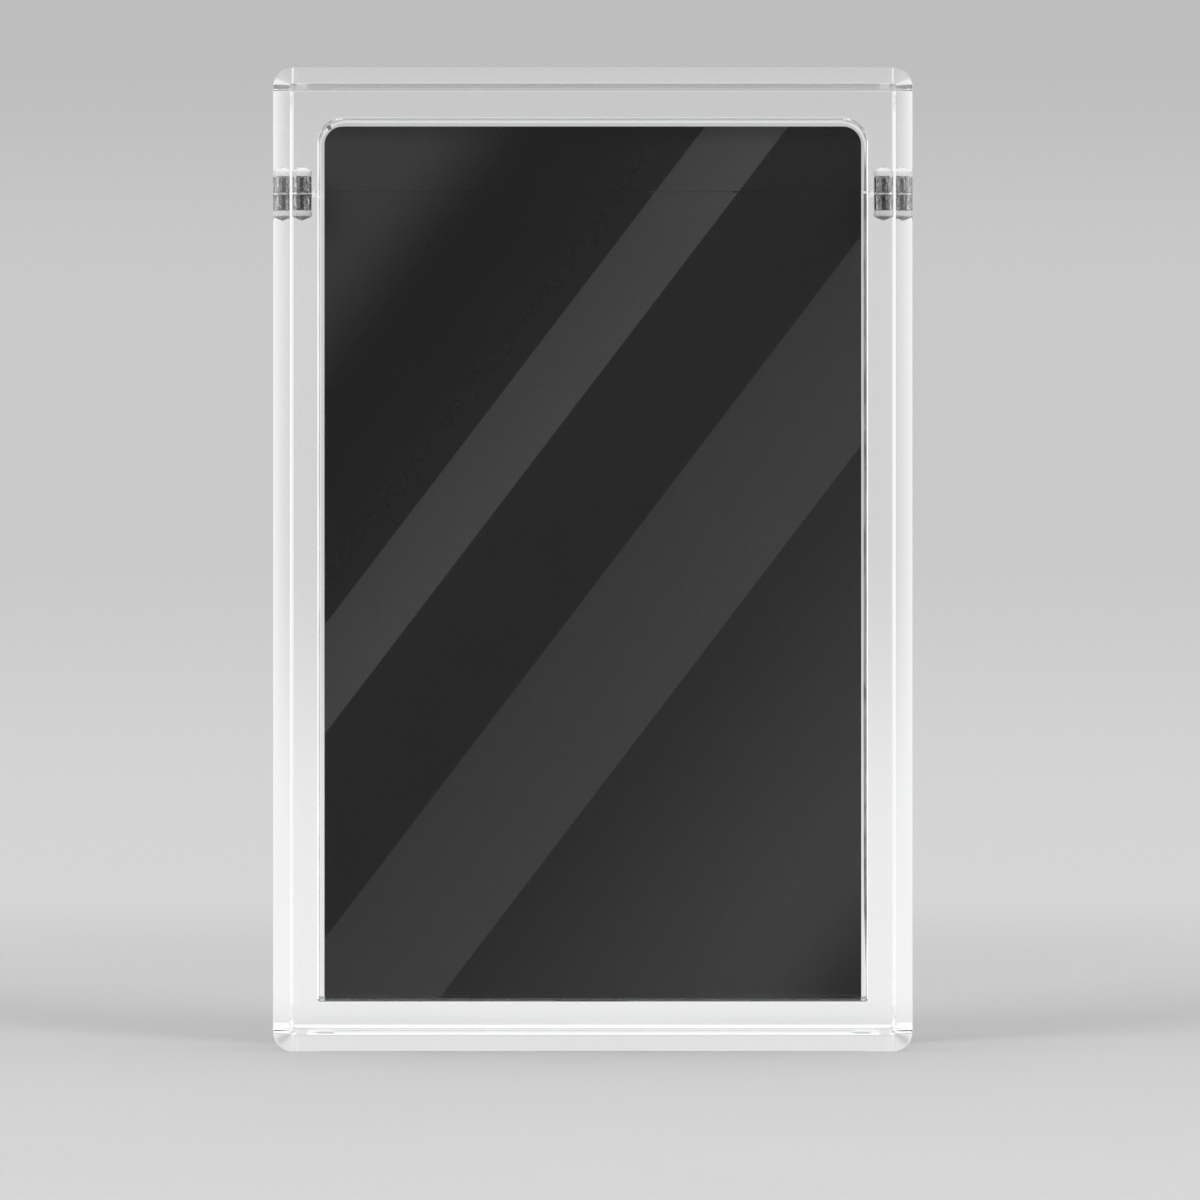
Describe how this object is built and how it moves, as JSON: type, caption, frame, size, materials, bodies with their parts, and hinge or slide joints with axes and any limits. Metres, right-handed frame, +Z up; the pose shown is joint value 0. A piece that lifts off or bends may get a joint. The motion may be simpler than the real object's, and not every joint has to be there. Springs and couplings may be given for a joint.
{
  "type": "trading card display case",
  "caption": "Upright clear acrylic block case for a graded card, with a lift-off magnetic cap and a dark backing sheet in its well.",
  "frame": {"origin": "centre of the footprint on the table, under the middle of the closed case", "axes": "+X to the right as seen from the front, +Y towards the back, +Z up"},
  "size_m": [0.0974, 0.026, 0.15],
  "materials": {
    "acrylic": "clear cast acrylic, polished faces and bevels",
    "nickel": "bright nickel plate with fine scratches",
    "adhesive": "set clear adhesive, slightly milky",
    "backing": "dark grey gloss with two faint lighter diagonal bands"
  },
  "bodies": {
    "case_body": {"body_front_panel": "acrylic", "body_back_panel": "acrylic", "body_left_rail": "acrylic", "body_right_rail": "acrylic", "body_bottom_rail": "acrylic", "body_left_magnet": "nickel", "body_right_magnet": "nickel", "body_left_adhesive": "adhesive", "body_right_adhesive": "adhesive"},
    "cap": {"cap_front_panel": "acrylic", "cap_back_panel": "acrylic", "cap_spacer": "acrylic", "cap_left_magnet": "nickel", "cap_right_magnet": "nickel", "cap_left_adhesive": "adhesive", "cap_right_adhesive": "adhesive"},
    "backing": {"backing_sheet": "backing"}
  },
  "joints": [
    {"name": "cap_lift", "type": "slide", "parent": "case_body", "child": "cap", "axis": [0, 0, 1], "range_m": [0, 0.12]},
    {"name": "backing_slide", "type": "slide", "parent": "case_body", "child": "backing", "axis": [0, 0, 1], "range_m": [0, 0.06]}
  ],
  "couplings": [
    {"joint": "backing_slide", "follows": "cap_lift", "ratio": 0.5}
  ]
}
